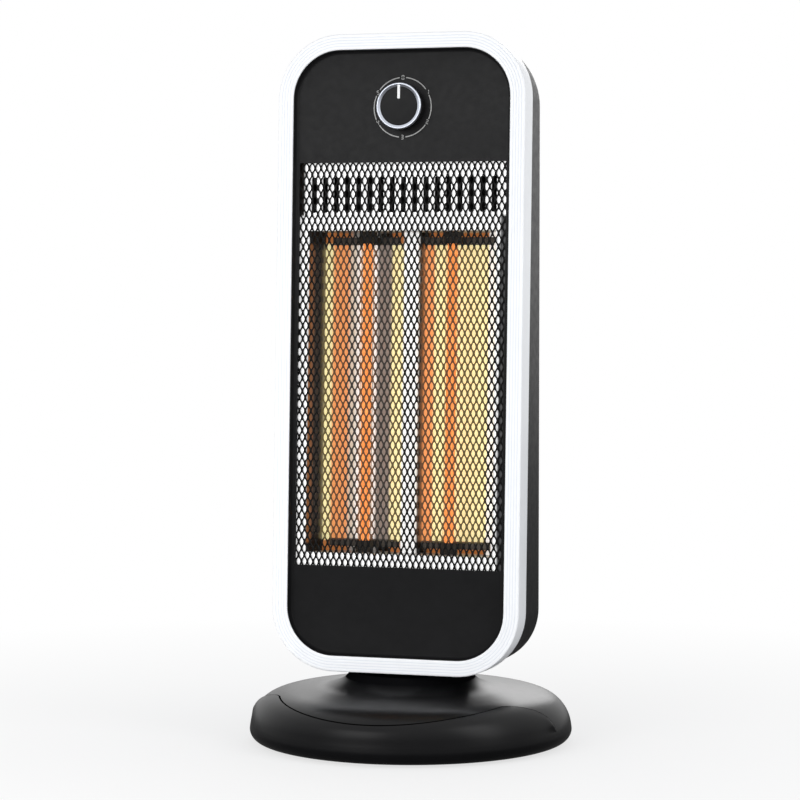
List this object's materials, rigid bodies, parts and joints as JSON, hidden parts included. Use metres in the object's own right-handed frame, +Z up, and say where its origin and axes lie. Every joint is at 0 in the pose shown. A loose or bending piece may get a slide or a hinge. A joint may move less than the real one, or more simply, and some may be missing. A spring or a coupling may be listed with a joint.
{
  "type": "carbon heater",
  "caption": "Upright oscillating carbon heater: rounded leaning head with a diamond-mesh grille, glowing tubes and a rotary knob, on a round weighted base.",
  "frame": {"origin": "on the floor, under the swivel axis at the centre of the round base", "axes": "+Z up along the swivel axis, -Y towards the grille's front, +X to the right seen from the front of a standing viewer who looks along +Y"},
  "size_m": [0.25, 0.25, 0.5449],
  "materials": {
    "white_gloss_plastic": "gloss",
    "black_panel_plastic": "satin",
    "black_casing_plastic": "satin",
    "black_base_plastic": "satin gloss",
    "black_mesh": "satin black",
    "bright_aluminium": "polished",
    "zinc_steel": "zinc plated",
    "blackened_steel": "heat-proof black",
    "dark_screws": "blackened",
    "ceramic": "matt",
    "quartz": "clear",
    "knob_black": "satin",
    "knob_chrome": "bright",
    "pointer_white": "print",
    "rubber": "matt",
    "ballast_iron": "rough",
    "inner_plastic": "matt",
    "base_plate_plastic": "matt",
    "carbon_glow": "glowing"
  },
  "bodies": {
    "base": {"base_cover": "black_base_plastic", "base_front_lip": "black_base_plastic", "base_plate": "base_plate_plastic", "base_screws": "dark_screws", "rubber_feet": "rubber", "ballast_plate": "ballast_iron", "tip_over_switch": "inner_plastic", "plunger_spring": "zinc_steel", "cord_gland": "rubber", "motor_bracket": "zinc_steel", "oscillation_motor": "inner_plastic", "swivel_bush": "inner_plastic"},
    "plunger": {"tip_over_plunger": "inner_plastic"},
    "crank": {"motor_shaft": "zinc_steel", "crank_disc": "inner_plastic"},
    "head": {"oscillation_arm": "zinc_steel", "pivot_tube": "zinc_steel", "pivot_screws": "dark_screws", "retaining_ring": "zinc_steel", "front_bezel": "white_gloss_plastic", "front_panel": "black_panel_plastic", "grille": "black_mesh", "reflector": "bright_aluminium", "vent_plate": "bright_aluminium", "sill_plate": "bright_aluminium", "lower_tube_straps": "blackened_steel", "upper_tube_straps": "blackened_steel", "heat_shield": "blackened_steel", "lower_end_plate": "zinc_steel", "upper_end_plate": "zinc_steel", "lower_end_caps": "ceramic", "upper_end_caps": "ceramic", "quartz_tube_left": "quartz", "quartz_tube_right": "quartz", "carbon_element_left": "carbon_glow", "carbon_element_right": "carbon_glow", "rear_cover": "black_casing_plastic", "cover_screws": "dark_screws", "rotary_switch": "inner_plastic", "thermal_cutout": "inner_plastic", "terminal_block": "inner_plastic"},
    "knob": {"knob": "knob_black", "knob_ring": "knob_chrome", "knob_pointer": "pointer_white", "switch_shaft": "zinc_steel"}
  },
  "joints": [
    {"name": "head_swivel", "type": "hinge", "parent": "base", "child": "head", "pos_m": [0, 0, 0.055], "axis": [0, 0, 1], "range_deg": [-30, 30]},
    {"name": "crank_turn", "type": "hinge", "parent": "base", "child": "crank", "pos_m": [0, 0.038, 0.028], "axis": [0, 0, 1], "range_deg": [-90, 90]},
    {"name": "knob_turn", "type": "hinge", "parent": "head", "child": "knob", "pos_m": [0, -0.02174, 0.4887], "axis": [0, 0.999, -0.0449], "range_deg": [0, 300]},
    {"name": "plunger_slide", "type": "slide", "parent": "base", "child": "plunger", "axis": [0, 0, 1], "range_m": [-0.006, 0], "stiffness_N_per_m": 60, "springref_m": -0.008, "deforming": ["plunger_spring"]}
  ],
  "couplings": [
    {"joint": "crank_turn", "follows": "head_swivel", "ratio": 2.9}
  ]
}
